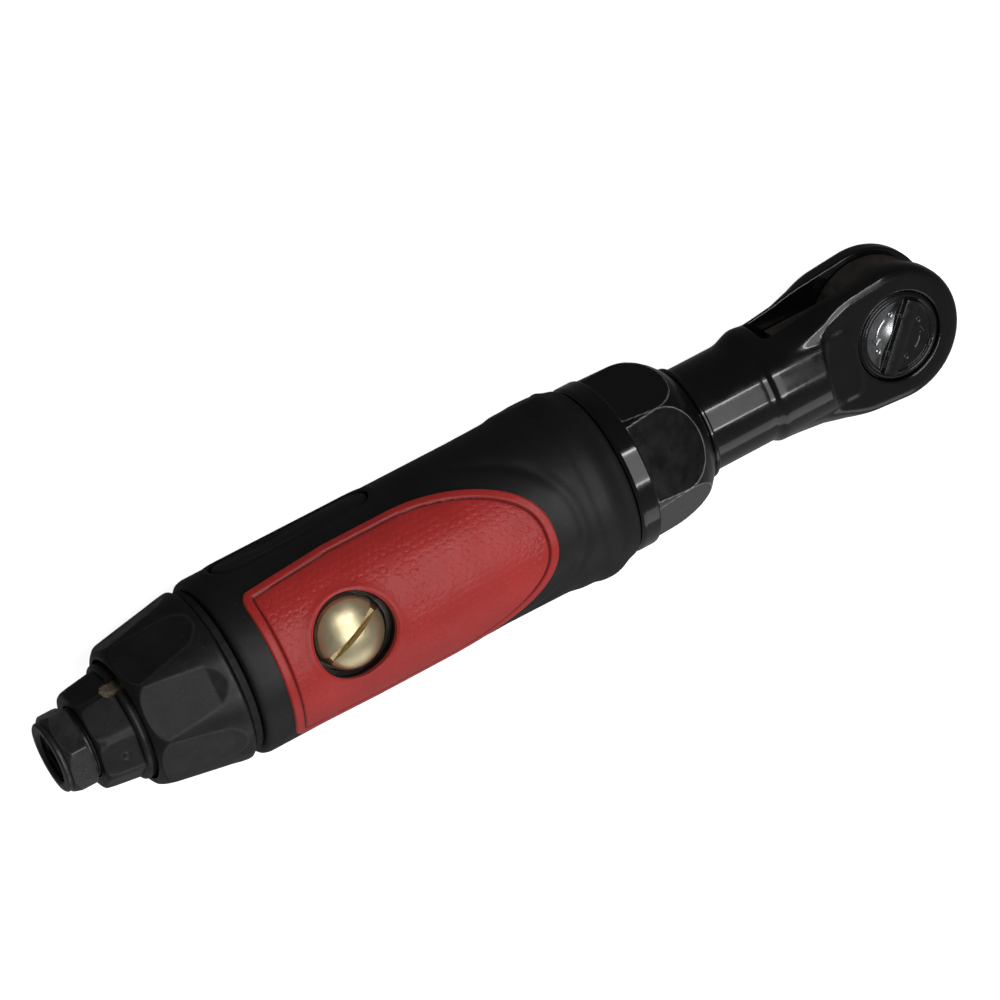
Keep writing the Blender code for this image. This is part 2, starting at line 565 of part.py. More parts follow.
def build_anvil():
    anvil = turned("anvil", [
        (-4.2, 0), (-4.2, 3.2), (8.2, 3.2), (8.2, 9.2), (7.8, 9.6), (4.9, 9.6), (4.8, 10.4),
        (-4.8, 10.4), (-4.9, 9.0), (-11.7, 9.0), (-12.3, 8.4), (-12.3, 0),
    ], head, "chrome", axis="Z", steps=28)
    half = DRIVE_SQUARE / 2
    square = block("drive_square", (-half, -half, -AXIS_Z), (half, half, -11.0), head, None)
    bevel = square.modifiers.new("edges", "BEVEL")
    bevel.width = 0.9 * MM
    bevel.segments = 2
    boolean(anvil, square, "UNION")
    boolean(anvil, block("pawl_window", (3.0, -12, -3.6), (14, 12, 3.6), head, None))
    boolean(anvil, rod("pawl_pin_hole", -4.6, 4.6, 1.4, head, None, axis="Z", at=(PAWL_PIN_X, 0, 0),
                       steps=12))
    ball_z = -19.6
    boolean(anvil, rod("detent_hole", 1.0, 9.0, 2.0, head, None, axis="X", at=(0, 0, ball_z),
                       steps=14, roll=0.1))
    ball("detent_ball", 5.3, 1.7, head, "steel", at=(0, 0, ball_z))
    coil("detent_spring", 1.6, 2.6, 1.3, 0.22, 2.0, head, "steel", axis="X", at=(0, 0, ball_z))

    tube("thrust_washer", 5.4, 6.2, 9.9, 11.5, head, "steel", axis="Z", steps=28)
    ring = tube("retaining_ring", 6.8, 7.8, 9.9, 11.5, head, "steel", axis="Z", steps=28)
    boolean(ring, block("ring_gap", (-14, -1.2, 6), (-8, 1.2, 9), head, None))


def build_pawl():
    outer = arc(10.7, -34, 34, 8)
    loop = [(x - PAWL_PIN_X, y) for x, y in outer]
    loop += [(7.0 - PAWL_PIN_X, 5.6), (5.2 - PAWL_PIN_X, 1.6), (5.2 - PAWL_PIN_X, -1.6),
             (7.0 - PAWL_PIN_X, -5.6)]
    eye = arc(1.4, 0, 330, 11)
    flat_solid("pawl", [loop, eye], -3.3, 3.3, head, "dark_steel", at=(PAWL_PIN_X, 0, 0),
               roll=math.radians(4.0))
    rod("pawl_pin", -4.3, 4.3, 1.05, head, "steel", axis="Z", at=(PAWL_PIN_X, 0, 0), steps=12)


def build_knob():
    knob = turned("reverse_knob", [
        (10.6, 0), (10.6, 10.6), (10.1, 11.5), (8.6, 11.5), (8.6, 2.9), (-3.9, 2.9), (-3.9, 0),
    ], head, "satin_black", axis="Z", steps=32)
    bar = block("knob_bar", (-10.2, -1.7, 10.0), (10.2, 1.7, 12.2), head, None)
    bar.rotation_euler = (0, 0, KNOB_ANGLE)
    bevel = bar.modifiers.new("edges", "BEVEL")
    bevel.width = 0.5 * MM
    bevel.segments = 2
    boolean(knob, bar, "UNION")
    boolean(knob, rod("plunger_hole", -1.2, 5.0, 1.3, head, None, axis="X", steps=12))
    turned("selector_plunger", [(2.8, 0), (2.6, 0.6), (2.1, 1.0), (1.0, 1.0), (1.0, 0)], head,
           "steel", axis="X", steps=12)
    coil("selector_spring", -0.6, 0.4, 0.7, 0.18, 1.5, head, "steel", axis="X")


def main():
    build_inlet()
    build_collar()
    build_casing()
    build_controls()
    build_motor()
    build_gears()
    build_nut()
    build_housing()
    build_yoke()
    build_anvil()
    build_pawl()
    build_knob()
    for obj in parts.objects:
        if obj.type == "MESH":
            smooth(obj)


main()
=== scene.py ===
"""Looks of the pneumatic ratchet wrench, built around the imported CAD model.

Lengths of pieces are millimetres, and MM turns them into metres.  The floor, the lights and
the camera are in metres.
Handle pieces are built in the handle's frame, where +Z runs out of the regulator, and head
pieces in the head's, where +Z runs out of the reversing knob.  Both have the tool axis as X.
"""
import json
import math

import bmesh
import bpy
import numpy as np
from mathutils import Matrix, Vector


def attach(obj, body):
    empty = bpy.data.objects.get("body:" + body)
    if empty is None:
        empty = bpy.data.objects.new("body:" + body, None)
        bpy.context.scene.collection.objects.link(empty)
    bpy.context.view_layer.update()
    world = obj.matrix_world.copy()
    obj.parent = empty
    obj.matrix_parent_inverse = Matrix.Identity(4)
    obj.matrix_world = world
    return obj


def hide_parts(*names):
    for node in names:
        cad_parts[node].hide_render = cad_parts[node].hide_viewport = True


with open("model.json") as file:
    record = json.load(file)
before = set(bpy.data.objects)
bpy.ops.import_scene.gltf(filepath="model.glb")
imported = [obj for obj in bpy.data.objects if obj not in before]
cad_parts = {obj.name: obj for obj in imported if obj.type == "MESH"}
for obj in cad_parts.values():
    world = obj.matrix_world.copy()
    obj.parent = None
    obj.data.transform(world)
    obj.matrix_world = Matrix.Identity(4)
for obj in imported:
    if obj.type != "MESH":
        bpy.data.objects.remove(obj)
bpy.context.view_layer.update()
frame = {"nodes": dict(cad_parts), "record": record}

MM = 0.001
AXIS_Z = 26.0
HANDLE_ROLL = math.radians(-12.0)
HEAD = Matrix.Translation((0, 0, AXIS_Z * MM))
HANDLE = HEAD @ Matrix.Rotation(HANDLE_ROLL, 4, "X")
X_TO_Z = Matrix.Rotation(-math.pi / 2, 4, "Y")


# ---- small maths ---------------------------------------------------------------------
def smooth_step(low, high, value):
    t = np.clip((value - low) / (high - low), 0, 1)
    return t * t * (3 - 2 * t)


def smooth_min(a, b, k):
    h = np.clip(0.5 + 0.5 * (b - a) / k, 0, 1)
    return b + (a - b) * h - k * h * (1 - h)


def smooth_max(a, b, k):
    return -smooth_min(-a, -b, k)


def bell(value, width):
    return np.exp(-((value / width) ** 2))


def fillet(points, radius):
    """Round each inner corner of a profile."""
    result = [points[0]]
    for before, corner, after in zip(points, points[1:], points[2:]):
        b, c, a = Vector(before), Vector(corner), Vector(after)
        reach = min(radius, (b - c).length / 2.1, (a - c).length / 2.1)
        p = c + (b - c).normalized() * reach
        q = c + (a - c).normalized() * reach
        for t in (0, 0.25, 0.5, 0.75, 1):
            mixed = p * (1 - t) ** 2 + c * (2 * t * (1 - t)) + q * t ** 2
            result.append((mixed.x, mixed.y))
    return result + [points[-1]]


def resample(points, step):
    """Split a profile's long segments, keeping every corner."""
    rows = [points[0]]
    for a, b in zip(points, points[1:]):
        count = max(1, math.ceil(math.dist(a, b) / step))
        for i in range(1, count + 1):
            rows.append((a[0] + (b[0] - a[0]) * i / count, a[1] + (b[1] - a[1]) * i / count))
    return np.array(rows)


def outline_distance(px, py, loop):
    """Distance from points to a closed outline, positive inside it."""
    best = np.full(px.shape, 1e9)
    inside = np.zeros(px.shape, bool)
    for (ax, ay), (bx, by) in zip(loop, loop[1:] + loop[:1]):
        dx, dy = bx - ax, by - ay
        t = np.clip(((px - ax) * dx + (py - ay) * dy) / (dx * dx + dy * dy + 1e-12), 0, 1)
        best = np.minimum(best, np.hypot(px - ax - t * dx, py - ay - t * dy))
        crosses = (ay > py) != (by > py)
        inside ^= crosses & (px < (bx - ax) * (py - ay) / (by - ay + 1e-12) + ax)
    return np.where(inside, best, -best)


# ---- making pieces -------------------------------------------------------------------
def piece(name, points, faces, where, finish, body, nodes=(), sharp=38, edge=None):
    """A mesh from millimetre points in the head's or handle's frame, riding on a body."""
    mesh = bpy.data.meshes.new(name)
    quads = faces.tolist() if hasattr(faces, "tolist") else faces
    mesh.from_pydata((np.asarray(points) * MM).tolist(), [], quads)
    if edge is not None:
        layer = mesh.attributes.new("edge", "FLOAT", "POINT")
        layer.data.foreach_set("value", np.asarray(edge, np.float32).ravel())
    mesh.materials.append(finish)
    mesh.shade_smooth()
    if sharp:
        mesh.set_sharp_from_angle(angle=math.radians(sharp))
    obj = bpy.data.objects.new(name, mesh)
    bpy.context.scene.collection.objects.link(obj)
    obj.matrix_world = where
    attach(obj, body)
    if nodes:
        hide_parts(*nodes)
    return obj


def ring_faces(rows, steps, closed=True):
    """Quads of a grid that closes round the axis, and back to its first row if closed."""
    i = np.arange(rows if closed else rows - 1)[:, None]
    j = np.arange(steps)[None, :]
    k, n = (i + 1) % rows, (j + 1) % steps
    quads = np.stack([i * steps + j, i * steps + n, k * steps + n, k * steps + j], -1)
    return quads.reshape(-1, 4)


def lathe(outer, inner, carve=None, bore=None, steps=240, step=0.5, round_to=0.3):
    """A ring turned about X; carve and bore change its outer and inner radii.

    outer runs from the + end down the outside, inner comes back up the inside.  carve
    returns the new radius and how much each point takes the edge colour: wear, and on the nut
    wear with a painted highlight.
    """
    out = resample(fillet(outer, round_to), step)
    back = resample(fillet(inner, round_to / 2), 3.0 if bore is None else step)
    angle = np.linspace(0, math.tau, steps, endpoint=False)[None, :]
    x = np.concatenate([out[:, 0], back[:, 0]])[:, None] + 0 * angle
    radius = np.concatenate([out[:, 1], back[:, 1]])[:, None] + 0 * angle
    edge = np.zeros_like(radius)
    n = len(out)
    if carve:
        radius[:n], edge[:n] = carve(x[:n], angle + 0 * x[:n], radius[:n])
    if bore:
        radius[n:] = bore(x[n:], angle + 0 * x[n:], radius[n:])
    points = np.stack([x, radius * np.sin(angle), radius * np.cos(angle)], -1).reshape(-1, 3)
    return points, ring_faces(len(x), steps), edge


def solid_lathe(profile, steps=96, step=1.0, round_to=0.3):
    """A turned solid whose profile starts and ends on the axis."""
    inner = fillet(profile, round_to)[1:-1]
    rows = resample(inner, step)
    angle = np.linspace(0, math.tau, steps, endpoint=False)[None, :]
    x = rows[:, 0][:, None] + 0 * angle
    radius = rows[:, 1][:, None] + 0 * angle
    points = np.stack([x, radius * np.sin(angle), radius * np.cos(angle)], -1).reshape(-1, 3)
    faces = ring_faces(len(rows), steps, closed=False).tolist()
    first, last = len(points), len(points) + 1
    points = np.vstack([points, [[profile[0][0], 0, 0], [profile[-1][0], 0, 0]]])
    end = (len(rows) - 1) * steps
    for j in range(steps):
        n = (j + 1) % steps
        faces.append([first, n, j])
        faces.append([last, end + j, end + n])
    return points, faces


def half_chord(radius, offset):
    """Half the chord of a circle at an offset from its centre, and never quite nothing."""
    return max(0.02, math.sqrt(max(0.0, radius ** 2 - offset ** 2)))


def rounded_edge(inside, drop, reach):
    """How far a surface falls towards its outline: a quarter ellipse, drop deep, reach wide."""
    outward = 1 - np.clip(inside / reach, 0, 1)
    return drop * (1 - np.sqrt(np.clip(1 - outward ** 2, 0, 1)))


def circle(centre_x, radius, count):
    return [(centre_x + radius * math.cos(a), radius * math.sin(a))
            for a in np.linspace(0, math.tau, count, endpoint=False)]


def on_disc(u, v, height, turn, centre_x=0.0):
    """Points over a disc that faces Z, with its u axis turned away from X."""
    x = centre_x + u * math.cos(turn) - v * math.sin(turn)
    y = u * math.sin(turn) + v * math.cos(turn)
    return x, y, height


def grid(rows, half, count):
    """Points over the region |w| < half(u), with a row of count points for each u."""
    u = np.asarray(rows, float)[:, None] + np.zeros((1, count))
    w = np.array([half(v) for v in rows])[:, None] * np.linspace(-1, 1, count)[None, :]
    return u, w


def upper_only(shade):
    """Painted shade for each point of a patch: shade on its upper skin and none on its lower."""
    return np.concatenate([shade.ravel(), np.zeros(shade.size)])


def patch(rows, half, count, top, base):
    """A closed slab over the region |w| < half(u); top and base give its two skins."""
    u, w = grid(rows, half, count)
    upper = np.stack(top(u, w), -1).reshape(-1, 3)
    lower = np.stack(base(u, w), -1).reshape(-1, 3)
    n, m = len(rows), count
    i, j = np.meshgrid(np.arange(n - 1), np.arange(m - 1), indexing="ij")
    a = (i * m + j).ravel()
    quads = np.stack([a, a + m, a + m + 1, a + 1], -1)
    under = quads[:, ::-1] + n * m
    rim = list(range(m)) + [i * m + m - 1 for i in range(1, n)]
    rim += [(n - 1) * m + j for j in range(m - 2, -1, -1)] + [i * m for i in range(n - 2, 0, -1)]
    rim = np.array(rim)
    after = np.roll(rim, -1)
    wall = np.stack([rim, after, after + n * m, rim + n * m], -1)
    return np.vstack([upper, lower]), np.vstack([quads, under, wall])


def implicit(field, low, high, cell):
    """Surface nets over the region where field < 0, then each point moved onto the surface."""
    axes = [np.arange(a, b + cell, cell) for a, b in zip(low, high)]
    values = field(np.stack(np.meshgrid(*axes, indexing="ij"), -1))
    shape = np.array(values.shape)
    cells = tuple(shape - 1)
    total = np.zeros((int(np.prod(cells)), 3))
    hits = np.zeros(len(total))
    quads = []
    for axis in range(3):
        o1, o2 = (axis + 1) % 3, (axis + 2) % 3
        v0 = np.take(values, range(0, shape[axis] - 1), axis)
        v1 = np.take(values, range(1, shape[axis]), axis)
        found = np.argwhere((v0 < 0) != (v1 < 0))
        keep = np.ones(len(found), bool)
        for o in (o1, o2):
            keep &= (found[:, o] > 0) & (found[:, o] < shape[o] - 1)
        found = found[keep]
        s0, s1 = v0[tuple(found.T)], v1[tuple(found.T)]
        point = found.astype(float)
        point[:, axis] += s0 / (s0 - s1)
        corners = []
        for d1, d2 in ((0, 0), (1, 0), (1, 1), (0, 1)):
            cell_at = found.copy()
            cell_at[:, o1] -= d1
            cell_at[:, o2] -= d2
            flat = np.ravel_multi_index(tuple(cell_at.T), cells)
            np.add.at(total, flat, point)
            np.add.at(hits, flat, 1)
            corners.append(flat)
        quad = np.stack(corners, 1)
        quads.append(np.where((s0 < 0)[:, None], quad, quad[:, ::-1]))
    quads = np.vstack(quads)
    used, index = np.unique(quads, return_inverse=True)
    points = np.array(low) + cell * total[used] / hits[used][:, None]
    nudge = 0.02
    for _ in range(3):
        slope = np.stack([(field(points + nudge * e) - field(points - nudge * e)) / (2 * nudge)
                          for e in np.eye(3)], -1)
        move = field(points)[:, None] * slope / np.maximum((slope ** 2).sum(-1), 0.25)[:, None]
        length = np.linalg.norm(move, axis=1)[:, None]
        points = points - move * np.minimum(1, cell * 0.5 / np.maximum(length, 1e-9))
    return points, index.reshape(-1, 4)


def cut(obj, points, faces, where, sharp=38):
    """Take another closed shape out of a finished piece."""
    mesh = bpy.data.meshes.new("cutter")
    mesh.from_pydata((np.asarray(points) * MM).tolist(), [], [list(face) for face in faces])
    bm = bmesh.new()
    bm.from_mesh(mesh)
    bmesh.ops.recalc_face_normals(bm, faces=bm.faces)
    bm.to_mesh(mesh)
    bm.free()
    cutter = bpy.data.objects.new("cutter", mesh)
    bpy.context.scene.collection.objects.link(cutter)
    cutter.matrix_world = where
    modifier = obj.modifiers.new("cut", "BOOLEAN")
    modifier.solver = "EXACT"
    modifier.operation = "DIFFERENCE"
    modifier.object = cutter
    bpy.context.view_layer.update()
    graph = bpy.context.evaluated_depsgraph_get()
    made = bpy.data.meshes.new_from_object(obj.evaluated_get(graph))
    obj.modifiers.clear()
    obj.data = made
    made.set_sharp_from_angle(angle=math.radians(sharp))
    bpy.data.objects.remove(cutter)


def prism(loop, low, high):
    """A straight prism over a loop in the XY plane."""
    n = len(loop)
    points = [(x, y, low) for x, y in loop] + [(x, y, high) for x, y in loop]
    faces = [list(range(n))[::-1], [n + i for i in range(n)]]
    faces += [[i, (i + 1) % n, n + (i + 1) % n, n + i] for i in range(n)]
    return points, faces


# ---- materials -----------------------------------------------------------------------
def finish(name, colour, rough, metal=0.0, coat=0.0, coat_rough=0.06, spec=0.5, sheen=0.0,
           mottle=(60, 0.25), spread=0.06, grain=(900, 0.02), cells=None, brushed=None,
           rings=None, dust=0.0, edge=None, edge_low=1.0):
    """A procedural surface: mottled colour, uneven roughness, grain bump, dust and an edge colour,
    which is wear on worn edges, painted shade in grooves and slots, and a painted highlight along
    the nut's edges.

    Scales are features per metre and depths are millimetres.  mottle is (scale, amount);
    grain, cells and rings are (scale, depth); brushed is (scale, stretch, depth).
    """
    material = bpy.data.materials.new(name)
    material.use_nodes = True
    nodes, links = material.node_tree.nodes, material.node_tree.links
    shader = nodes["Principled BSDF"]
    shader.inputs["Metallic"].default_value = metal
    shader.inputs["Coat Weight"].default_value = coat
    shader.inputs["Coat Roughness"].default_value = coat_rough
    shader.inputs["Specular IOR Level"].default_value = spec
    shader.inputs["Sheen Weight"].default_value = sheen
    place = nodes.new("ShaderNodeTexCoord").outputs["Object"]

    def noise(scale, detail=4.0, stretch=None):
        texture = nodes.new("ShaderNodeTexNoise")
        texture.inputs["Scale"].default_value = scale
        texture.inputs["Detail"].default_value = detail
        source = place
        if stretch:
            mapping = nodes.new("ShaderNodeMapping")
            mapping.inputs["Scale"].default_value = stretch
            links.new(place, mapping.inputs["Vector"])
            source = mapping.outputs["Vector"]
        links.new(source, texture.inputs["Vector"])
        return texture.outputs["Fac"]

    def remap(value, low, high, to_low, to_high):
        node = nodes.new("ShaderNodeMapRange")
        for key, number in zip(("From Min", "From Max", "To Min", "To Max"),
                               (low, high, to_low, to_high)):
            node.inputs[key].default_value = number
        links.new(value, node.inputs["Value"])
        return node.outputs["Result"]

    def blend(factor, first, second):
        node = nodes.new("ShaderNodeMix")
        node.data_type = "RGBA"
        links.new(factor, node.inputs["Factor"])
        for socket, value in ((node.inputs["A"], first), (node.inputs["B"], second)):
            if isinstance(value, tuple):
                socket.default_value = (*value, 1)
            else:
                links.new(value, socket)
        return node.outputs["Result"]

    def bump(height, depth, normal=None):
        node = nodes.new("ShaderNodeBump")
        node.inputs["Distance"].default_value = depth * MM
        node.inputs["Strength"].default_value = 1.0
        links.new(height, node.inputs["Height"])
        if normal:
            links.new(normal, node.inputs["Normal"])
        return node.outputs["Normal"]

    scale, amount = mottle
    dark = tuple(c * (1 - amount) for c in colour)
    light = tuple(min(1, c * (1 + amount)) for c in colour)
    tint = blend(remap(noise(scale), 0.3, 0.7, 0, 1), dark, light)
    rough_out = remap(noise(scale * 2.3, 5.0), 0.3, 0.7, rough - spread, rough + spread)
    if dust:
        specks = remap(noise(2600, 2.0), 0.68, 0.76, 0, dust)
        tint = blend(specks, tint, (0.22, 0.21, 0.2))
    normal = bump(noise(grain[0], 3.0), grain[1])
    if cells:
        texture = nodes.new("ShaderNodeTexVoronoi")
        texture.feature = "SMOOTH_F1"
        texture.inputs["Scale"].default_value = cells[0]
        texture.inputs["Smoothness"].default_value = 0.35
        links.new(place, texture.inputs["Vector"])
        normal = bump(texture.outputs["Distance"], cells[1], normal)
    if brushed:
        lines = noise(brushed[0], 2.0, brushed[1])
        normal = bump(lines, brushed[2], normal)
    if rings:
        texture = nodes.new("ShaderNodeTexWave")
        texture.wave_type = "RINGS"
        texture.rings_direction = "Z"
        texture.inputs["Scale"].default_value = rings[0]
        links.new(place, texture.inputs["Vector"])
        normal = bump(texture.outputs["Fac"], rings[1], normal)
    # Edge colour from the edge attribute: wear, painted shade in the panel's groove and the
    # regulator's slot, and wear with a painted highlight on the nut.
    if edge:
        wear_and_painted_light = nodes.new("ShaderNodeAttribute")
        wear_and_painted_light.attribute_name = "edge"
        patchy = nodes.new("ShaderNodeMath")
        patchy.operation = "MULTIPLY"
        links.new(wear_and_painted_light.outputs["Fac"], patchy.inputs[0])
        links.new(remap(noise(130, 3.0), 0.35, 0.6, edge_low, 1.0), patchy.inputs[1])
        tint = blend(patchy.outputs["Value"], tint, edge)
    links.new(tint, shader.inputs["Base Color"])
    links.new(rough_out, shader.inputs["Roughness"])
    links.new(normal, shader.inputs["Normal"])
    return material


ENAMEL = finish("enamel_black", (0.0045, 0.0048, 0.0050), 0.17, coat=0.6, coat_rough=0.05,
                mottle=(90, 0.3), spread=0.05, grain=(420, 0.012), dust=0.12)
# Its pale edge colour is the nut's worn chamfers together with a painted highlight along them.
NUT_ENAMEL = finish("enamel_black_worn_edge_painted_highlight", (0.0045, 0.0048, 0.0050), 0.15, coat=0.6,
                    mottle=(110, 0.3), spread=0.05, grain=(420, 0.008), dust=0.1,
                    edge=(0.60, 0.60, 0.58), edge_low=0.35)
SATIN = finish("satin_black", (0.0155, 0.0160, 0.0165), 0.4, mottle=(140, 0.3), spread=0.08,
               grain=(3200, 0.012), dust=0.5, edge=(0.05, 0.05, 0.05))
OILED = finish("oiled_black", (0.042, 0.040, 0.040), 0.33, spec=0.8, mottle=(260, 0.35),
               spread=0.1, grain=(1500, 0.012), dust=1.0, edge=(0.09, 0.09, 0.088))
GRIP = finish("grip_polymer", (0.0155, 0.0155, 0.016), 0.5, spec=0.45, mottle=(70, 0.2),
              spread=0.05, grain=(3600, 0.03), dust=0.3)
# Its dark edge colour is painted shade, laid in the panel's groove.
RED = finish("red_rubber", (0.70, 0.042, 0.037), 0.42, spec=0.5, sheen=0.15, mottle=(60, 0.1),
             spread=0.06, grain=(900, 0.03), cells=(1500, 0.035), dust=0.1,
             edge=(0.07, 0.004, 0.004))
# Its dark edge colour is painted shade, laid in the regulator's slot.
BRASS = finish("turned_brass", (0.92, 0.80, 0.50), 0.34, metal=0.8, mottle=(300, 0.06),
               spread=0.05, grain=(1500, 0.006), brushed=(9000, (1, 0.05, 1), 0.004),
               edge=(0.20, 0.12, 0.04))
BRONZE = finish("sintered_bronze", (0.60, 0.50, 0.36), 0.6, metal=0.3, mottle=(900, 0.4),
                spread=0.1, grain=(2200, 0.12), cells=(3000, 0.1))
STEEL = finish("machined_steel", (0.52, 0.52, 0.53), 0.3, metal=1.0, mottle=(200, 0.08),
               spread=0.07, grain=(900, 0.004), brushed=(1600, (30, 1, 1), 0.004))
DARK_STEEL = finish("oxide_steel", (0.110, 0.092, 0.078), 0.42, metal=0.3, mottle=(150, 0.35),
                    spread=0.1, grain=(1200, 0.008), brushed=(900, (1, 1, 14), 0.006))
CHROME = finish("polished_chrome", (0.72, 0.72, 0.74), 0.2, metal=1.0, mottle=(150, 0.06),
                spread=0.06, grain=(500, 0.003), brushed=(1400, (1, 1, 0.08), 0.005))
PHENOLIC = finish("phenolic_laminate", (0.18, 0.09, 0.035), 0.55, mottle=(700, 0.35),
                  grain=(2400, 0.02), brushed=(1500, (1, 20, 20), 0.02))
SEAL = finish("seal_rubber", (0.012, 0.012, 0.0125), 0.7, mottle=(300, 0.25),
              grain=(2500, 0.03), dust=0.5)
KNOB = finish("knob_black", (0.010, 0.010, 0.0105), 0.22, coat=0.4, mottle=(200, 0.3),
              spread=0.08, grain=(900, 0.01), dust=0.3)
PLATE = finish("polished_plate", (0.52, 0.53, 0.55), 0.24, metal=1.0, mottle=(300, 0.2),
               spread=0.05, grain=(700, 0.006), rings=(1600, 0.004))
SLOT_FINISH = {"gloss_black": ENAMEL, "satin_black": SATIN, "grip_black": GRIP,
               "red_rubber": RED, "brass": BRASS, "bronze": BRONZE, "steel": STEEL,
               "dark_steel": DARK_STEEL, "chrome": CHROME, "phenolic": PHENOLIC,
               "seal_rubber": SEAL}

# CAD nodes that keep their own shape and whose edges can be seen.
SHOWN_NODES = ("ratchet_yoke", "anvil", "motor_housing", "collar_seal", "exhaust_silencer",
               "valve_stem", "lever_pin", "thrust_washer", "retaining_ring")


def carry_over():
    """Every CAD node gets its slot's finish, and the shown ones a small bevel."""
    slots = {part["node"]: part["material_slot"] for part in frame["record"]["subparts"]}
    for name, obj in frame["nodes"].items():
        obj.data.materials.clear()
        obj.data.materials.append(SLOT_FINISH[slots[name]])
    frame["nodes"]["motor_housing"].data.materials[0] = DARK_STEEL
    for name in SHOWN_NODES:
        obj = frame["nodes"][name]
        weld = obj.modifiers.new("weld", "WELD")
        weld.merge_threshold = 0.002 * MM
        bevel = obj.modifiers.new("edges", "BEVEL")
        bevel.width = (0.5 if name == "anvil" else 0.25) * MM
        bevel.segments = 2
        bevel.limit_method = "ANGLE"
        bevel.angle_limit = math.radians(42)
        bevel.harden_normals = True


# ---- inlet end -----------------------------------------------------------------------
# Half the hex's width, the pipe thread's pitch, and where the deflector's skirt ends.
HEX_HALF = 9.525
THREAD_PITCH = 1.411
DEFLECTOR_SKIRT = -219.6
NOTCH_ANGLE = math.radians(-56)


def nearest(angle, centre_deg, count):
    """Angle from each point to the nearest of count evenly spaced flats."""
    pitch = math.tau / count
    return (angle - math.radians(centre_deg) + pitch / 2) % pitch - pitch / 2


def build_bushing():
    """Hex inlet bushing with worn edges and a tapped bore."""
    def hexagon(x, angle, radius):
        flat = HEX_HALF / np.cos(nearest(angle, -17.5, 6))
        on_hex = (x < -230.35) & (x > -236.35)
        carved = np.where(on_hex, smooth_min(radius, flat, 0.16), radius)
        ridge = bell(nearest(angle, 12.5, 6) * 11, 0.3) * (x < -230.6) * (x > -235.2)
        rim = bell(radius - flat, 0.09) * on_hex
        return carved, np.clip(0.6 * ridge + 0.8 * rim, 0, 1)

    def thread(x, angle, radius):
        turn = ((x / THREAD_PITCH + angle / math.tau) % 1.0) * 2 - 1
        ridge = 0.62 * np.clip(1.25 - 1.6 * np.abs(turn), 0, 1)
        tapped = (x < -223.4) & (x > -237.2)
        return radius + np.where(tapped, 0.55 - ridge, 0)

    outer = [(-211.0, 9.0), (-229.4, 9.0), (-229.4, 8.5), (-230.35, 8.5), (-230.4, 10.5),
             (-231.1, 11.0), (-234.9, 11.0), (-236.3, 9.5), (-236.4, 8.9), (-236.7, 8.75),
             (-236.8, 9.05), (-237.4, 9.05), (-237.8, 8.6)]
    inner = [(-237.8, 7.1), (-237.0, 6.3), (-223.2, 5.9), (-223.0, 4.2), (-211.0, 4.2)]
    points, faces, edge = lathe(outer, inner, hexagon, thread, steps=360, step=0.22,
                                round_to=0.25)
    piece("inlet_bushing_body", points, faces, HANDLE, OILED, "handle", ["inlet_bushing"],
          edge=edge)


def build_deflector():
    """Swivelling exhaust deflector: eight flats, a small round mark and its notch."""
    def flats(x, angle, radius):
        flat = (12.15 + (x + 229) * 0.13) / np.cos(nearest(angle, -15.0, 8))
        near = x < DEFLECTOR_SKIRT
        carved = np.where(near, smooth_min(radius, flat, 0.25), radius)
        mark = bell(np.hypot(x + 223.2, nearest(angle, -16.0, 1) * 13) - 0.9, 0.22) * near
        ridge = bell(radius - flat, 0.12) * near
        return carved - 0.22 * mark, np.clip(0.7 * ridge, 0, 1)

    outer = [(-213.2, 14.9), (-217.6, 15.0), (-218.6, 15.2), (-219.4, 14.9),
             (DEFLECTOR_SKIRT, 14.2), (-226.6, 13.2), (-228.6, 12.7), (-229.0, 12.1)]
    inner = [(-229.0, 9.4), (-226.8, 9.4), (-226.8, 11.9), (-213.2, 13.6)]
    points, faces, edge = lathe(outer, inner, flats, steps=300, step=0.3, round_to=0.35)
    deflector = piece("exhaust_deflector_shell", points, faces, HANDLE, SATIN, "deflector",
                      ["exhaust_deflector"], edge=edge)
    opening = [(-222.0, -1.3), (-220.6, -2.6), (-212.0, -2.6), (-212.0, 2.6), (-221.2, 2.6),
               (-222.4, 0.8)]
    cut(deflector, *prism(opening, 9.0, 18.0), HANDLE @ Matrix.Rotation(NOTCH_ANGLE, 4, "X"))


def build_collar():
    """Rear collar, a cone with eight flats that die out before its front lip."""
    def facets(x, angle, radius):
        turn = np.cos(nearest(angle, 13.0, 8))
        flat = np.interp(x, [-218, -214.4, -199.4, -195.7, -194], [17.45, 18.1, 21.0, 22.2, 24])
        limit = flat / turn
        carved = smooth_min(radius, limit, 0.07)
        ridge = bell(radius - limit, 0.07) * (x < -195.9)
        return carved, np.clip(0.8 * ridge, 0, 1)

    outer = [(-194.0, 21.8), (-194.5, 22.25), (-195.4, 22.2), (-214.4, 19.4), (-216.0, 18.5),
             (-217.0, 17.4), (-217.3, 16.9)]
    inner = [(-217.3, 15.9), (-209.6, 15.9), (-209.6, 17.4), (-208.4, 19.3), (-194.0, 19.3)]
    points, faces, edge = lathe(outer, inner, facets, steps=360, step=0.22, round_to=0.6)
    piece("rear_collar_shell", points, faces, HANDLE, SATIN, "handle", ["rear_collar"],
          edge=edge)


# ---- grip, panel, lever and regulator ------------------------------------------------
# Places along the axis, half widths, and radii from the axis.
PANEL_REAR, PANEL_TAPER, PANEL_NOSE, PANEL_FRONT = -184.0, -160.0, -142.0, -107.6
PANEL_HALF, PANEL_CORNER = 20.3, 2.4
PANEL_R, PANEL_TOP, PANEL_BED = 23.35, 23.66, 21.5
REGULATOR_X, RECESS_R = -163.5, 10.8
REGULATOR_TURN = math.radians(25)
LEVER_REAR, LEVER_FRONT, LEVER_HALF = -184.1, -141.2, 5.4
LEVER_SIDE_R = 23.1
THROUGH_GRIP = (12.0, 30.0)


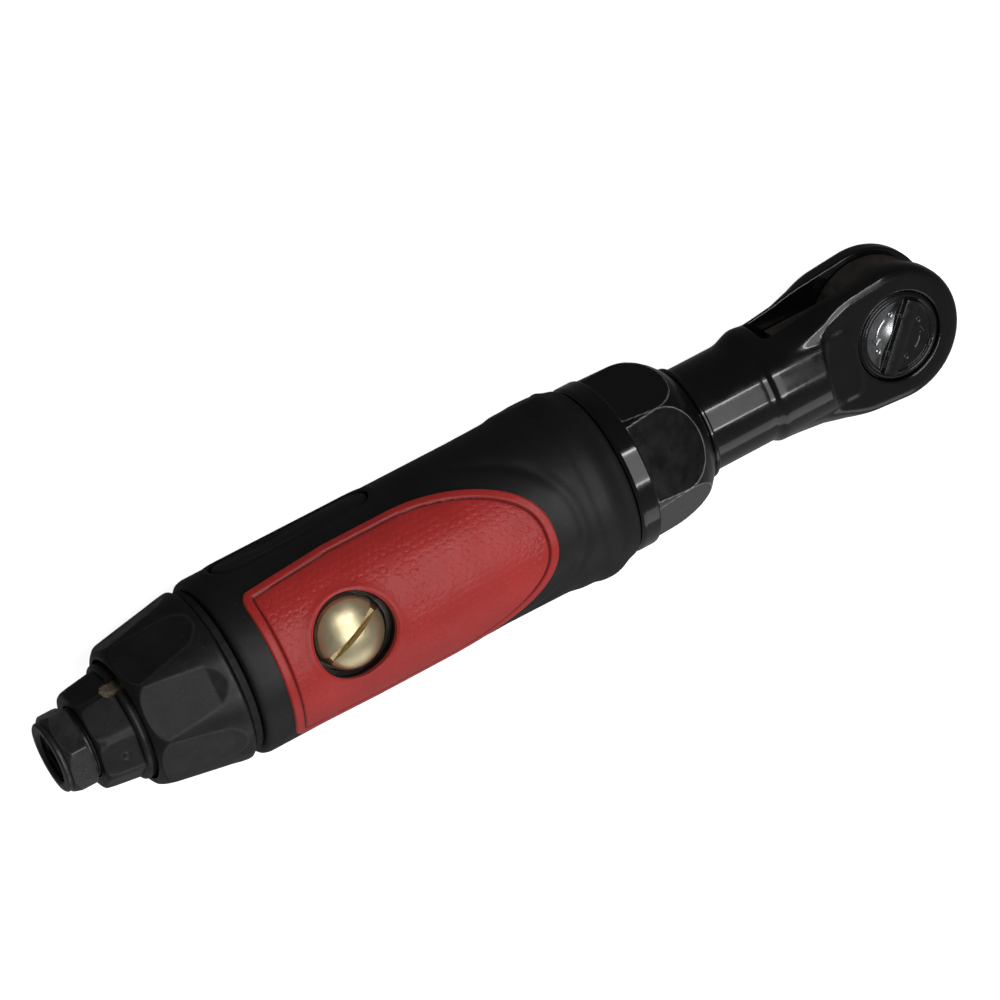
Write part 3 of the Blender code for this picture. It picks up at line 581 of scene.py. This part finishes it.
def panel_half(x):
    """Half width of the panel in plan: tapered square rear with round corners, round nose."""
    half = PANEL_HALF - 1.2 * max(0.0, (PANEL_TAPER - x) / (PANEL_TAPER - PANEL_REAR))
    if x < PANEL_REAR + PANEL_CORNER:
        t = (PANEL_REAR + PANEL_CORNER - x) / PANEL_CORNER
        half -= PANEL_CORNER * (1 - math.sqrt(max(0.0, 1 - t * t)))
    if x > PANEL_NOSE:
        sine = min(1.0, (x - PANEL_NOSE) / (PANEL_FRONT - PANEL_NOSE))
        half = PANEL_HALF * max(0.0, 1 - sine * sine) ** 0.4
    return max(0.02, half)


def panel_rows(spacing):
    """Places along the panel, close together at its corners and its nose."""
    corner = PANEL_REAR + PANEL_CORNER
    rear = np.linspace(PANEL_REAR, corner, 12)
    middle = np.arange(corner + spacing, PANEL_NOSE, spacing)
    along = np.sin(np.linspace(0, math.pi / 2, 150))
    return np.concatenate([rear, middle, PANEL_NOSE + (PANEL_FRONT - PANEL_NOSE) * along])


def panel_loop():
    """The panel's outline, unrolled from a cylinder of radius PANEL_R."""
    rows = panel_rows(1.0)
    side = [(x, PANEL_R * math.asin(panel_half(x) / PANEL_R)) for x in rows]
    return side + [(x, -s) for x, s in reversed(side)]


def honeycomb(x, s):
    """Scattered faint rings on a hexagonal grid, as the moulded panel has."""
    pitch, row_pitch, cells = 2.15, 2.15 * 0.866, 64
    strength = np.random.RandomState(11).rand(cells, cells)
    strength = np.where(strength > 0.22, 0.45 + 0.55 * strength, 0.0)
    height = np.zeros_like(x)
    row = np.round(s / row_pitch).astype(int)
    for shift in (-1, 0, 1):
        r = row + shift
        column = np.round(x / pitch - 0.5 * (r % 2)).astype(int)
        centre_x, centre_s = (column + 0.5 * (r % 2)) * pitch, r * row_pitch
        ring = bell(np.hypot(x - centre_x, s - centre_s) - 0.86, 0.17)
        height = np.maximum(height, ring * strength[column % cells, r % cells])
    return height


def build_panel():
    """Red soft panel: rounded edge, grooved border with painted shade in the groove, faint rings
    and a bezel.
    """
    loop = panel_loop()
    groove_in = 2.6

    def radius_at(x, s):
        inside = outline_distance(x, s, loop)
        edge = rounded_edge(inside, 0.55, 0.6)
        groove = 0.55 * bell(inside - groove_in, 0.32)
        field = smooth_step(groove_in, 3.2, inside)
        ring = np.hypot(x - REGULATOR_X, s) - RECESS_R
        bezel = 0.22 * bell(ring - 0.9, 0.95) - 0.25 * bell(ring, 0.35)
        rings = -0.13 * honeycomb(x, s) * field * smooth_step(2.0, 3.0, ring)
        radius = PANEL_TOP - edge - groove - 0.12 * field + bezel + rings
        # Painted shade: the groove is coloured dark, as the shade that falls in it.
        shade = bell(inside - groove_in, 0.26) * 0.95
        return radius, shade

    def top(u, w):
        s = PANEL_R * np.arcsin(w / PANEL_R)
        radius, _ = radius_at(u, s)
        angle = s / PANEL_R
        return u, radius * np.sin(angle), radius * np.cos(angle)

    def base(u, w):
        angle = np.arcsin(w / PANEL_R)
        return u, 21.8 * np.sin(angle), 21.8 * np.cos(angle)

    rows, count = panel_rows(0.24), 190
    points, faces = patch(rows, panel_half, count, top, base)
    u, w = grid(rows, panel_half, count)
    _, shade = radius_at(u, PANEL_R * np.arcsin(w / PANEL_R))
    panel = piece("grip_panel_skin", points, faces, HANDLE, RED, "handle", ["grip_panel"],
                  edge=upper_only(shade))
    cut(panel, *prism(circle(REGULATOR_X, RECESS_R, 120), *THROUGH_GRIP), HANDLE)


def lever_loop(grow):
    """The lever's outline, a bar with round ends, made wider all round by grow."""
    radius = LEVER_HALF + grow
    loop = []
    for centre, start in ((LEVER_FRONT - LEVER_HALF, -90), (LEVER_REAR + LEVER_HALF, 90)):
        for i in range(25):
            a = math.radians(start + 7.5 * i)
            loop.append((centre + radius * math.cos(a), radius * math.sin(a)))
    return loop


def build_grip():
    """Black grip: a bed for the panel, a recess for the lever, three flats at the front."""
    loop = panel_loop()
    recess = lever_loop(0.5)

    def shape(x, angle, radius):
        signed = (angle + math.pi) % math.tau - math.pi
        s = PANEL_R * signed
        inside = outline_distance(x, s, loop)
        pocket = smooth_step(0.5, 0.8, inside)
        radius = radius * (1 - pocket) + PANEL_BED * pocket
        side = (signed - math.pi / 2) * LEVER_SIDE_R
        to_lever = -outline_distance(x, side, recess)
        rim = 0.32 * bell(to_lever - 1.1, 0.9) - 0.3 * bell(to_lever, 0.35)
        radius = radius + rim * (np.abs(side) < 12)
        for centre in (106.0, -106.0, 180.0):
            away = (angle - math.radians(centre) + math.pi) % math.tau - math.pi
            flat = 23.45 / np.cos(np.clip(away, -1.2, 1.2))
            flat = np.where((np.abs(away) < 1.1) & (x > -112) & (x < -89.5), flat, 99)
            radius = smooth_min(radius, flat, 0.12)
        radius = radius - 0.55 * bell(inside + 7.2, 1.7) * smooth_step(-128, -112, x)
        return radius, np.zeros_like(radius)

    outer = [(-84.95, 21.6), (-85.6, 22.5), (-88.2, 23.2), (-90.6, 24.3), (-92.6, 24.75),
             (-95.4, 24.6), (-97.2, 24.0), (-101.0, 23.85), (-104.4, 23.15), (-115.0, 22.98),
             (-150.0, 23.0), (-189.6, 23.1), (-191.0, 22.7), (-191.4, 22.0)]
    inner = [(-191.4, 19.8), (-84.95, 19.8)]
    points, faces, _ = lathe(outer, inner, shape, steps=330, step=0.42, round_to=1.1)
    grip = piece("grip_housing_shell", points, faces, HANDLE, GRIP, "handle",
                 ["grip_housing"])
    cut(grip, *prism(circle(REGULATOR_X, RECESS_R + 0.2, 96), *THROUGH_GRIP), HANDLE)
    cut(grip, *prism(recess, *THROUGH_GRIP), HANDLE @ Matrix.Rotation(-math.pi / 2, 4, "X"))


def build_lever():
    """Throttle lever, dished where the finger presses it."""
    loop = lever_loop(0.0)
    rear_centre, front_centre = LEVER_REAR + LEVER_HALF, LEVER_FRONT - LEVER_HALF

    def half(x):
        return half_chord(LEVER_HALF, max(rear_centre - x, x - front_centre, 0.0))

    def top(u, w):
        inside = outline_distance(u, w, loop)
        edge = rounded_edge(inside, 0.9, 1.0)
        dish = 0.55 * bell(u + 168.0, 9.0) * smooth_step(0.8, 3.4, inside)
        height = np.sqrt(22.9 ** 2 - w ** 2) - edge - dish - 0.1
        return u, height, -w

    def base(u, w):
        return u, np.full_like(u, 19.7), -w

    middle = np.arange(rear_centre, front_centre, 0.25)
    ends = LEVER_HALF * np.sin(np.linspace(0, math.pi / 2, 40))
    rows = np.concatenate([rear_centre - ends[::-1], middle[1:-1], front_centre + ends])
    points, faces = patch(rows, half, 70, top, base)
    piece("throttle_lever_body", points, faces, HANDLE, GRIP, "throttle", ["throttle_lever"])


def build_regulator():
    """Brass air regulator: a slotted dome, with painted shade in its slot, on a grooved stem."""
    radius, sphere, crown = 9.0, 13.8, 23.1
    slot_half, slot_depth, count = 0.66, 2.3, 180

    def half(v):
        return half_chord(radius, v)

    def in_slot(u, v):
        """How far inside the slot, which flares at its two ends."""
        return slot_half + np.clip(np.abs(u) - 7.4, 0, 2) * 0.55 - np.abs(v)

    def top(v, u):
        rho = np.hypot(u, v)
        height = crown - sphere + np.sqrt(sphere ** 2 - np.minimum(rho, radius) ** 2)
        height = height - 0.35 * smooth_step(radius - 0.5, radius, rho)
        inside = smooth_step(-0.10, 0.14, in_slot(u, v))
        floor = crown - slot_depth - 0.1 * np.abs(u) / radius
        height = height * (1 - inside) + np.minimum(height, floor) * inside
        return on_disc(u, v, height, REGULATOR_TURN, REGULATOR_X)

    def base(v, u):
        return on_disc(u, v, np.full_like(u, 15.2), REGULATOR_TURN, REGULATOR_X)

    side = np.concatenate([np.linspace(0, 0.5, 4), np.linspace(0.52, 0.84, 14),
                           np.linspace(0.9, 2.2, 14),
                           2.2 + (radius - 2.2) * np.sin(np.linspace(0.05, 1, 60) * math.pi / 2)])
    rows = np.concatenate([-side[:0:-1], side])
    points, faces = patch(rows, half, count, top, base)
    v, u = grid(rows, half, count)
    # Painted shade: the slot is coloured dark, as the shade inside it.
    shade = smooth_step(-0.02, 0.16, in_slot(u, v)) * 0.8
    piece("regulator_dome", points, faces[:, ::-1], HANDLE, BRASS, "regulator",
          ["regulator_screw"], edge=upper_only(shade))
    stem = [(15.15, 0), (15.15, 3.9), (10.4, 3.9), (10.4, 3.2), (8.4, 3.2), (8.4, 3.9),
            (-2.4, 3.9), (-2.4, 0)]
    points, faces = solid_lathe(stem, steps=64)
    upright = HANDLE @ Matrix.Translation((REGULATOR_X * MM, 0, 0)) @ X_TO_Z
    piece("regulator_stem", points, faces, upright, BRASS, "regulator")


# ---- clamp nut and head --------------------------------------------------------------
NUT_LIP = -79.3
SEAM_X = -57.6
EAR_REAR, SLOT_REAR = -37.3, -33.8
EAR_FACE, SLOT_HALF = 11.0, 5.1
KNOB_BORE_R, ANVIL_BORE_R, CRANK_BORE_R = 11.9, 9.5, 9.5


def build_nut():
    """Clamp nut with six tapered flats and worn edges with a painted highlight on them, and the
    washer before it.
    """
    def flats(x, angle, radius):
        apothem = np.interp(x, [NUT_LIP, -56.6], [19.5, 18.0])
        limit = apothem / np.cos(nearest(angle, 20.0, 6))
        front = x > NUT_LIP
        carved = np.where(front, np.minimum(radius, limit), radius)
        # Pale lines along the flats' edges and round the lip: worn chamfers with a painted
        # highlight along them.
        line = bell(radius - limit, 0.06) * front
        rear = bell(x + 79.22, 0.13) * (limit < radius)
        return carved, np.clip(line + rear, 0, 1)

    outer = [(-58.6, 15.0), (-59.6, 16.1), (-61.4, 18.0), (-63.5, 19.6), (-65.6, 20.7),
             (-67.7, 21.4), (-70.0, 21.8), (NUT_LIP, 21.95), (-79.36, 22.2), (-79.7, 22.3),
             (-83.9, 22.3), (-84.6, 21.7)]
    inner = [(-84.6, 19.7), (-79.0, 19.7), (-79.0, 19.0), (-70.4, 19.0), (-70.4, 14.25),
             (-58.6, 14.25)]
    points, faces, edge = lathe(outer, inner, flats, steps=560, step=0.2, round_to=0.5)
    piece("clamp_nut_body", points, faces, HEAD, NUT_ENAMEL, "handle", ["clamp_nut"],
          edge=edge)
    outer = [(-57.0, 14.7), (-57.3, 15.0), (-58.0, 15.0), (-58.3, 14.7)]
    inner = [(-58.3, 14.25), (-57.0, 14.25)]
    points, faces, _ = lathe(outer, inner, steps=200, step=0.2, round_to=0.15)
    piece("nut_washer_ring", points, faces, HEAD, ENAMEL, "handle", ["nut_washer"])


def ear_outline(x, y):
    """Distance from the ears' plan: a big and a small circle joined by their tangents."""
    along, across = -x, np.abs(y)
    big, small, length = 18.2, 15.0, 35.0
    slope = (big - small) / length
    run = math.sqrt(1 - slope * slope)
    position = -slope * across + run * along
    return np.where(position < 0, np.hypot(x, y) - big,
                    np.where(position > run * length,
                             np.hypot(across, along - length) - small,
                             across * run + along * slope - big))


def head_field(p):
    """Below zero inside the cast head, and above zero outside it."""
    x, y, z = p[..., 0], p[..., 1], p[..., 2]
    around = np.hypot(y, z)
    centre = np.hypot(x, y)
    # The round neck, which steps up at the shoulder.
    neck_r = np.interp(x, [-60, -40.4, -39.4, -38.6, -37.4, -36.6, -35.6],
                       [13.9, 13.9, 13.86, 14.0, 14.6, 14.84, 14.88])
    neck = smooth_max(around - neck_r, x + 12.0, 3.0)
    # The block of the two ears, turned down towards the neck.
    ears = smooth_max(ear_outline(x, y), np.abs(z) - EAR_FACE, 3.6)
    turned = np.interp(x, [-40, -36, -30, -24, -18, -12, -5, 20],
                       [12.6, 13.0, 13.6, 14.2, 15.6, 17.6, 19.8, 22.0])
    ears = smooth_max(ears, np.hypot(0.85 * y, z) - turned, 1.0)
    ears = smooth_max(ears, EAR_REAR - x, 1.2)
    solid = smooth_min(neck, ears, 0.6)
    # Flat faces round the knob and round the drive, and a small saddle on the shoulder.
    for side in (1, -1):
        milled = smooth_max(centre - 22.6, EAR_FACE - side * z, 2.2)
        solid = smooth_max(solid, -milled, 1.2)
    saddle = np.sqrt(((x + 37.4) / 1.25) ** 2 + (y - 11.2) ** 2 + ((z + 1.6) / 1.5) ** 2) - 4.3
    solid = smooth_min(solid, saddle, 1.6)
    # The slot for the yoke, the bores for the knob and the anvil, and the crank's bore.
    slot = smooth_max(np.abs(z) - SLOT_HALF, SLOT_REAR - x, 2.0)
    solid = smooth_max(solid, -slot, 0.7)
    near_bore = np.maximum(centre - KNOB_BORE_R, 1.0 - z)
    far_bore = np.maximum(centre - ANVIL_BORE_R, z + 1.0)
    solid = smooth_max(solid, -near_bore, 0.45)
    solid = smooth_max(solid, -far_bore, 0.4)
    crank = np.maximum(around - CRANK_BORE_R, x + 29.0)
    solid = smooth_max(solid, -crank, 0.5)
    return np.maximum(solid, SEAM_X - x)


def build_head():
    """Cast head, and the turned spigot behind it that the nut holds."""
    points, faces = implicit(head_field, (-58.4, -19.4, -16.0), (18.8, 19.4, 16.0), 0.4)
    piece("ratchet_head_casting", points, faces, HEAD, ENAMEL, "handle", ["ratchet_housing"],
          sharp=None)
    outer = [(SEAM_X - 0.02, 13.9), (-70.8, 13.9), (-70.8, 16.0), (-71.4, 18.6),
             (-78.7, 18.6), (-78.9, 16.2), (-86.1, 16.2)]
    inner = [(-86.1, 12.9), (-80.0, 12.9), (-80.0, 6.9), (-79.0, CRANK_BORE_R),
             (SEAM_X - 0.02, CRANK_BORE_R)]
    points, faces, _ = lathe(outer, inner, steps=96, step=2.0)
    piece("ratchet_head_spigot", points, faces, HEAD, ENAMEL, "handle")


# ---- reversing knob ------------------------------------------------------------------
KNOB_TURN = math.radians(55)
KNOB_R, PLATE_R, ARROW_R = 11.5, 9.35, 6.3


def arrow(u, v, rho, side):
    """Depth, from 0 to 1, of a curved arrow and two small rings on one half of the dial."""
    sweep = np.degrees(np.arctan2(side * v, u))
    line = bell(rho - ARROW_R, 0.22) * smooth_step(57, 60, sweep) * smooth_step(112, 109, sweep)
    back = np.where(side > 0, 122 - sweep, sweep - 58)
    line = np.where(side > 0, line, line * smooth_step(66, 70, sweep))
    head = smooth_step(0.25, -0.05, np.abs(rho - ARROW_R) - back * 0.085)
    head = head * (back > 0) * smooth_step(14.5, 13, back)
    dots = bell(np.hypot(u - 4.9, side * v - 4.2) - 0.55, 0.17)
    dots = dots + bell(np.hypot(u + 4.9, side * v - 4.2) - 0.55, 0.17)
    return np.clip(line + head + dots, 0, 1)


def knob_height(u, v):
    """Top of the knob; u runs along its grip bar."""
    rho = np.hypot(u, v)
    height = 10.5 - 0.5 * smooth_step(KNOB_R - 0.7, KNOB_R, rho)
    height = height - 0.14 * bell(rho - 10.2, 0.16)
    well = smooth_step(2.35, 2.75, np.abs(v)) * smooth_step(9.5, 9.1, rho)
    deep = np.where(v > 0, 1.6, 0.4)
    height = height - deep * well - 0.14 * arrow(u, v, rho, -1) * (v < 0)
    bar = smooth_step(2.2, 1.95, np.abs(v)) * smooth_step(10.2, 9.8, np.abs(u))
    crown = 12.1 - 0.3 * (np.abs(v) / 2.0) ** 2
    return height * (1 - bar) + crown * bar


def disc_patch(rows, radius, count, height, underside):
    """A slab over a disc, or part of one, turned as the knob is."""
    def top(v, u):
        return on_disc(u, v, height(u, v), KNOB_TURN)

    def base(v, u):
        return on_disc(u, v, np.full_like(u, underside), KNOB_TURN)

    points, faces = patch(rows, lambda v: half_chord(radius, v), count, top, base)
    return points, faces[:, ::-1]


def build_plate():
    """The polished half of the dial, dished and engraved with its arrow."""
    low = 2.5

    def height(u, v):
        rho = np.hypot(u, v)
        dish = 0.6 * np.sin(np.clip((rho - low) / (PLATE_R - low), 0, 1) * math.pi)
        tilt = 0.03 * (v - low)
        return 10.15 - dish + tilt - 0.14 * arrow(u, v, rho, 1)

    rows = low + (PLATE_R - low) * np.sin(np.linspace(0, math.pi / 2, 110))
    points, faces = disc_patch(rows, PLATE_R, 200, height, 9.0)
    piece("reverse_knob_plate", points, faces, HEAD, PLATE, "selector")


def build_knob():
    """Reversing knob: its dial with a grip bar, its polished half and its stem."""
    rim, to_rim = 8.95, np.linspace(0.04, 1, 30)
    side = np.concatenate([np.linspace(0, 1.8, 9), np.linspace(1.86, 2.3, 12),
                           np.arange(2.38, 9.0, 0.1),
                           rim + (KNOB_R - rim) * np.sin(to_rim * math.pi / 2)])
    rows = np.concatenate([-side[:0:-1], side])
    points, faces = disc_patch(rows, KNOB_R, 220, knob_height, 8.6)
    piece("reverse_knob_dial", points, faces, HEAD, KNOB, "selector", ["reverse_knob"])
    build_plate()
    points, faces = solid_lathe([(8.55, 0), (8.55, 2.9), (-3.9, 2.9), (-3.9, 0)], steps=48)
    piece("reverse_knob_stem", points, faces, HEAD @ X_TO_Z, SATIN, "selector")


# ---- floor, light and camera ---------------------------------------------------------
def build_stage():
    """A pale floor, just under the tool, that neither lights it nor shows in its gloss."""
    size, height, steps = 14.0, -0.0003, 8
    row = steps + 1
    points = [((i / steps - 0.5) * size, (j / steps - 0.5) * size, height)
              for i in range(row) for j in range(row)]
    faces = [(i * row + j, (i + 1) * row + j, (i + 1) * row + j + 1, i * row + j + 1)
             for i in range(steps) for j in range(steps)]
    mesh = bpy.data.meshes.new("floor")
    mesh.from_pydata(points, [], faces)
    material = bpy.data.materials.new("pale_floor")
    material.use_nodes = True
    shader = material.node_tree.nodes["Principled BSDF"]
    shader.inputs["Base Color"].default_value = (0.93, 0.93, 0.93, 1)
    shader.inputs["Roughness"].default_value = 0.9
    shader.inputs["Emission Color"].default_value = (1, 1, 1, 1)
    shader.inputs["Emission Strength"].default_value = 0.9
    mesh.materials.append(material)
    floor = bpy.data.objects.new("floor", mesh)
    bpy.context.scene.collection.objects.link(floor)
    floor.visible_glossy = False
    floor.visible_diffuse = False


def softbox(name, direction, distance, size, radiance):
    """A rectangular lamp facing the middle of the tool, its first side along the tool axis."""
    target = Vector((-0.11, 0, AXIS_Z * MM))
    back = Vector(direction).normalized()
    along = (Vector((1, 0, 0)) - back * back.x).normalized()
    data = bpy.data.lights.new(name, "AREA")
    data.shape = "RECTANGLE"
    data.size, data.size_y = size
    data.energy = radiance * math.pi * size[0] * size[1]
    lamp = bpy.data.objects.new(name, data)
    bpy.context.scene.collection.objects.link(lamp)
    matrix = Matrix((along, back.cross(along), back)).transposed().to_4x4()
    matrix.translation = target + back * distance
    lamp.matrix_world = matrix


def build_light():
    """Soft studio: a world brighter on the near side, white to the camera, and four lamps."""
    world = bpy.data.worlds.new("studio")
    bpy.context.scene.world = world
    world.use_nodes = True
    nodes, links = world.node_tree.nodes, world.node_tree.links
    split = nodes.new("ShaderNodeSeparateXYZ")
    links.new(nodes.new("ShaderNodeTexCoord").outputs["Generated"], split.inputs["Vector"])
    level = nodes.new("ShaderNodeMapRange")
    for key, number in (("From Min", -0.95), ("From Max", 0.2), ("To Min", 0.2), ("To Max", 0.05)):
        level.inputs[key].default_value = number
    links.new(split.outputs["Y"], level.inputs["Value"])
    seen = nodes.new("ShaderNodeLightPath").outputs["Is Camera Ray"]
    strength = nodes.new("ShaderNodeMath")
    strength.operation = "MAXIMUM"
    links.new(level.outputs["Result"], strength.inputs[0])
    links.new(seen, strength.inputs[1])
    background = nodes["Background"]
    background.inputs["Color"].default_value = (1, 1, 1, 1)
    links.new(strength.outputs["Value"], background.inputs["Strength"])
    softbox("key_panel", (0.12, 0.21, 0.97), 0.95, (0.62, 0.68), 1.7)
    softbox("key_strip_far", (0.12, 0.555, 0.82), 0.95, (0.62, 0.05), 11.0)
    softbox("key_strip_near", (0.12, -0.138, 0.98), 0.95, (0.62, 0.05), 8.0)
    softbox("fill_low", (0.05, -0.85, 0.5), 1.1, (1.0, 0.4), 0.7)


def build_camera():
    """A long lens at the photograph's viewing angle."""
    data = bpy.data.cameras.new("camera")
    data.lens = 175.3
    data.sensor_width = 36.0
    data.clip_start, data.clip_end = 0.05, 20.0
    camera = bpy.data.objects.new("camera", data)
    bpy.context.scene.collection.objects.link(camera)
    # Its axes and place were fitted to the tool's outline.
    right = Vector((0.84433, -0.25138, 0.47320))
    up = Vector((0.44389, 0.82280, -0.35492))
    back = Vector((-0.30012, 0.50971, 0.80630))
    matrix = Matrix((right, up, back)).transposed().to_4x4()
    matrix.translation = Vector((-0.46587, 0.60940, 0.98138))
    camera.matrix_world = matrix
    bpy.context.scene.camera = camera


def main():
    bpy.context.scene.view_settings.view_transform = "Standard"
    build_camera()
    build_light()
    build_stage()
    carry_over()
    build_bushing()
    build_deflector()
    build_collar()
    build_grip()
    build_panel()
    build_lever()
    build_regulator()
    build_nut()
    build_head()
    build_knob()


main()
